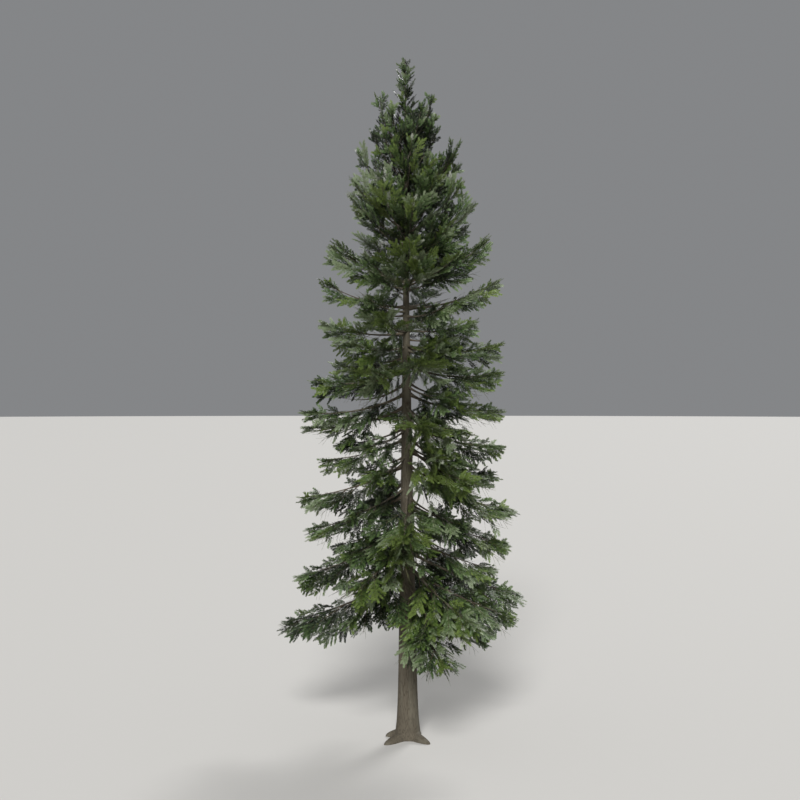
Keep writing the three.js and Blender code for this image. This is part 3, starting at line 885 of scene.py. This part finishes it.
# Painted shade deep in the crown: sprays near the trunk get darker greens and those near the outline paler
# ones, more so in the high crown.
INNER_SHADE_SHARE = (0.06, 0.34)
DEPTH_MIDDLE = 0.66
DEPTH_TOP = 11.9
TONE_GAIN = 2.45
TONE_MIDDLE = 0.45
TONE_MOST = 0.999
LOW_HALF = 5

needle_materials = [
    plain_material(f"Needles {number}", colour, NEEDLE_ROUGHNESS)
    for number, colour in enumerate(GREY_GREENS + YELLOW_GREENS + GLINT_GREENS, 1)
]


def shoot_sprays():
    """Every shoot as a spray: a straight line that bears needles, with its bough, its twig and its age."""
    return {
        "bough": twigs.bough[shoot_twig],
        "twig": shoot_twig,
        "root": shoot_root,
        "line": shoot_line,
        "flat": np.cross(twig_heading, shoot_side) * shoot_hand[:, None],
        "age": AGE_ALONG["bough"] * twigs.share[shoot_twig] + AGE_ALONG["twig"] * shoot_share,
        "end": np.ones(len(shoot_twig), bool),
        "round": np.zeros(len(shoot_twig), bool),
    }


def twig_stretches():
    """The outer part of every twig as sprays, the last of which ends in a tip."""
    ends = np.linspace(BEARING_FROM, 1, BEARING_STEPS + 1)
    owner = np.repeat(every_twig, BEARING_STEPS)
    high_share = np.tile(ends[1:], len(every_twig))
    low = twig_point(owner, np.tile(ends[:-1], len(every_twig)))
    return {
        "bough": twigs.bough[owner],
        "twig": owner,
        "root": low,
        "line": twig_point(owner, high_share) - low,
        "flat": np.cross(twigs.ahead[owner], twigs.across[owner]),
        "age": AGE_ALONG["bough"] * twigs.share[owner] + AGE_ALONG["twig"] * high_share,
        "end": high_share == 1,
        "round": np.zeros(len(owner), bool),
    }


def limb_stretches():
    """The outer part of every bough as sprays, with needles all round it."""
    ends = np.linspace(*LIMB_BEARING, LIMB_STEPS + 1)
    lines = np.stack([bough.point(ends) for bough in boughs])
    flats = np.stack([np.cross(bough.ahead(ends[1:]), bough.side) for bough in boughs])
    owner = np.repeat(np.arange(len(boughs)), LIMB_STEPS)
    low, high = lines[:, :-1].reshape(-1, 3), lines[:, 1:].reshape(-1, 3)
    return {
        "bough": owner,
        "twig": np.zeros(len(owner), int),
        "root": low,
        "line": high - low,
        "flat": flats.reshape(-1, 3),
        "age": AGE_ALONG["bough"] * np.tile(ends[1:], len(boughs)),
        "end": np.zeros(len(owner), bool),
        "round": np.ones(len(owner), bool),
    }


sprays = Rows([shoot_sprays(), twig_stretches(), limb_stretches()])
sprays.keep(~in_opening(sprays.root + SPRAY_MIDDLE * sprays.line))
spray_length = np.linalg.norm(sprays.line, axis=1)
spray_ahead = sprays.line / spray_length[:, None]
spray_middle = sprays.root + SPRAY_MIDDLE * sprays.line
spray_height = sprays.root[:, 2]
mean_radius = np.vectorize(crown_mean)(np.minimum(spray_middle[:, 2], DEPTH_TOP))
spray_depth = np.hypot(spray_middle[:, 0], spray_middle[:, 1]) / mean_radius
inner_shade_share = np.interp(spray_height, HIGH_CROWN, INNER_SHADE_SHARE)
bough_share = np.interp(spray_height, HIGH_CROWN, (BOUGH_SHARE, HIGH_BOUGH_SHARE))
bough_side = [bough.mass.split("_")[0] for bough in boughs] + ["leader"]
bough_tone = draw(np.arange(len(bough_side)), DRAW["tone"])
side_light = np.array([PAINTED_LIGHT_BY_SIDE[side] for side in bough_side])
spray_tone = AGE_SHARE * sprays.age + BOUGH_SHARE / 2 + side_light[sprays.bough]
spray_tone += bough_share * (bough_tone[sprays.bough] - 0.5)
spray_tone += TWIG_SHARE * random.random(len(every_twig))[sprays.twig]
spray_tone += np.interp(spray_height, *zip(*PAINTED_SHADE_BY_HEIGHT))
# Painted shade: darker towards the trunk, paler towards the crown's outline.
spray_tone += inner_shade_share * (np.clip(spray_depth, 0, 1) - DEPTH_MIDDLE)
spray_tone += SPRAY_SHARE * random.random(len(spray_tone))
bough_yellow = np.array([YELLOW_SHARE[side] for side in bough_side])
spray_yellow = random.random(len(every_twig))[sprays.twig] < bough_yellow[sprays.bough]
# A few sprays at random get the pale greens of painted glints.
spray_glint = random.random(len(spray_tone)) < GLINT_SHARE


def dealt_colours(spray, share):
    """The colour's number for needles at shares along their sprays: darker at the foot, paler at the end."""
    tone = TONE_GAIN * (spray_tone[spray] + PLACE_SHARE * share - TONE_MIDDLE) + 0.5
    tone = np.clip(tone, 0, TONE_MOST)
    grey = (tone * len(GREY_GREENS)).astype(int)
    yellow = (tone * len(YELLOW_GREENS)).astype(int) + len(GREY_GREENS)
    glint = (tone * len(GLINT_GREENS)).astype(int) + len(GREY_GREENS) + len(YELLOW_GREENS)
    return np.select([spray_glint[spray], spray_yellow[spray]], [glint, yellow], grey)


def needles_on(chosen):
    """Points, triangles and dealt colours of the needles on some of the sprays."""
    pairs = np.maximum(np.round(spray_length[chosen] / NEEDLE_SPACING), LEAST_PAIRS).astype(int)
    owner, order = each(2 * pairs)
    spray = chosen[owner]
    count = len(spray)
    share = (order // 2 + random.random(count)) / pairs[owner]
    hand = np.where(order % 2, 1.0, -1.0)
    ahead = spray_ahead[spray]
    flat = sprays.flat[spray]
    flat = unit(flat - (flat * ahead).sum(axis=1, keepdims=True) * ahead)
    side = np.cross(flat, ahead) * hand[:, None]
    spread = np.where(sprays.round[spray], ROUND_SPREAD, NEEDLE_SPREAD)
    clock = np.radians(random.normal(NEEDLE_LIFT, spread))[:, None]
    radial = side * np.cos(clock) + flat * np.sin(clock)
    at_end = sprays.end[spray]
    angle = lerp(*NEEDLE_ANGLE, np.where(at_end, share, ANGLE_SHARE))
    angle = np.radians(angle + random.uniform(-ANGLE_SWING, ANGLE_SWING, count))[:, None]
    along = ahead * np.cos(angle) + radial * np.sin(angle)
    end_length = END_LENGTH["first"] - END_LENGTH["loss"] * share ** END_LENGTH["power"]
    length = NEEDLE_LENGTH * random.uniform(*LENGTH_SPREAD, count) * np.where(at_end, end_length, 1)
    width = unit(np.cross(along, flat) + WIDTH_SCATTER * random.normal(0, 1, (count, 3)))
    rib = unit(np.cross(width, along))
    rib *= np.sign((rib * flat).sum(axis=1, keepdims=True) + RIB_UPWARDS)
    root = sprays.root[spray] + ahead * (share * spray_length[spray])[:, None]
    middle = root + along * (NEEDLE_WIDEST * length)[:, None] - rib * (NEEDLE_FOLD * NEEDLE_HALF_WIDTH)
    edge = width * NEEDLE_HALF_WIDTH
    points = np.stack((root, middle + edge, root + along * length[:, None], middle - edge), axis=1)
    first = 4 * np.arange(count)[:, None]
    triangles = np.hstack((first, first + 1, first + 2, first, first + 2, first + 3)).reshape(-1, 3)
    return points.reshape(-1, 3), triangles, np.repeat(dealt_colours(spray, share), 2)


def half_of(mass):
    """The side and half of the crown that a mass is in, which names its piece."""
    side, number = mass.split("_")
    return f"{side}_{'low' if int(number) <= LOW_HALF else 'high'}"


halves = np.array([half_of(bough.mass) for bough in boughs] + ["leader"])
for half in sorted(set(halves)):
    points, triangles, dealt = needles_on(np.flatnonzero(halves[sprays.bough] == half))
    needles = joined_piece(f"sprays_{half}", points, triangles, needle_materials, dealt)
    masses = sorted({bough.mass for bough in boughs if half_of(bough.mass) == half}) or ["leader"]
    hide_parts(*[f"needles_{mass}" for mass in masses])

# Floor: a plain studio floor of matt pale paint, level with the flat cut under the trunk. It is one round
# sheet, wide enough to reach the horizon behind the tree.
FLOOR_RADIUS = 400
FLOOR_SIDES = 96
FLOOR_COLOUR = (196, 194, 190)
FLOOR_GRAIN = {"Scale": 3}
FLOOR_ROUGHNESS = {"To Min": 0.9, "To Max": 0.96}


def floor_material():
    material = bpy.data.materials.new("Studio floor")
    material.use_nodes = True
    tree = material.node_tree
    shader = tree.nodes["Principled BSDF"]
    shader.inputs["Base Color"].default_value = linear(*FLOOR_COLOUR)
    place = new_node(tree, "ShaderNodeTexCoord")
    grain = new_node(tree, "ShaderNodeTexNoise", FLOOR_GRAIN)
    spread = new_node(tree, "ShaderNodeMapRange", FLOOR_ROUGHNESS)
    link = tree.links.new
    link(place.outputs["Object"], grain.inputs["Vector"])
    link(grain.outputs["Fac"], spread.inputs["Value"])
    link(spread.outputs["Result"], shader.inputs["Roughness"])
    return material


bm = bmesh.new()
bmesh.ops.create_circle(bm, cap_ends=True, segments=FLOOR_SIDES, radius=FLOOR_RADIUS)
floor_mesh = bpy.data.meshes.new("floor")
bm.to_mesh(floor_mesh)
bm.free()
floor_mesh.materials.append(floor_material())
floor = bpy.data.objects.new("floor", floor_mesh)
bpy.context.scene.collection.objects.link(floor)

# Light: a plain pale surround that lights the tree evenly from all sides, with one broad soft lamp in front,
# a little to the left, and a weaker one behind.
SURROUND = (205, 207, 210)
SURROUND_STRENGTH = 0.38
LAMP_SPREAD = 18
LAMPS = [("front_lamp", 3.6, (-0.08, -1.0, 0.65)), ("back_lamp", 1.6, (0.5, 1.0, 0.7))]

world = bpy.data.worlds.new("Studio")
world.use_nodes = True
world.node_tree.nodes["Background"].inputs["Color"].default_value = linear(*SURROUND)
world.node_tree.nodes["Background"].inputs["Strength"].default_value = SURROUND_STRENGTH
bpy.context.scene.world = world
for name, strength, place in LAMPS:
    lamp = bpy.data.lights.new(name, "SUN")
    lamp.energy = strength
    lamp.angle = math.radians(LAMP_SPREAD)
    lamp_object = bpy.data.objects.new(name, lamp)
    lamp_object.rotation_euler = Vector(place).to_track_quat("Z", "Y").to_euler()
    bpy.context.scene.collection.objects.link(lamp_object)
bpy.context.scene.view_settings.view_transform = "Standard"

# Camera: it stands in front of the tree at half its height, where the gaps in the crown show the sky, and
# looks level. A 50 mm lens takes in the whole tree, with a margin above and below.
LENS = 50
SENSOR_WIDTH = 36
SIGHT_END = 1000

camera = bpy.data.cameras.new("camera")
camera.lens = LENS
camera.sensor_width = SENSOR_WIDTH
camera.clip_end = SIGHT_END
camera_object = bpy.data.objects.new("camera", camera)
camera_object.location = VIEWPOINT
camera_object.rotation_euler = (math.radians(90), 0, 0)
bpy.context.scene.collection.objects.link(camera_object)
bpy.context.scene.camera = camera_object
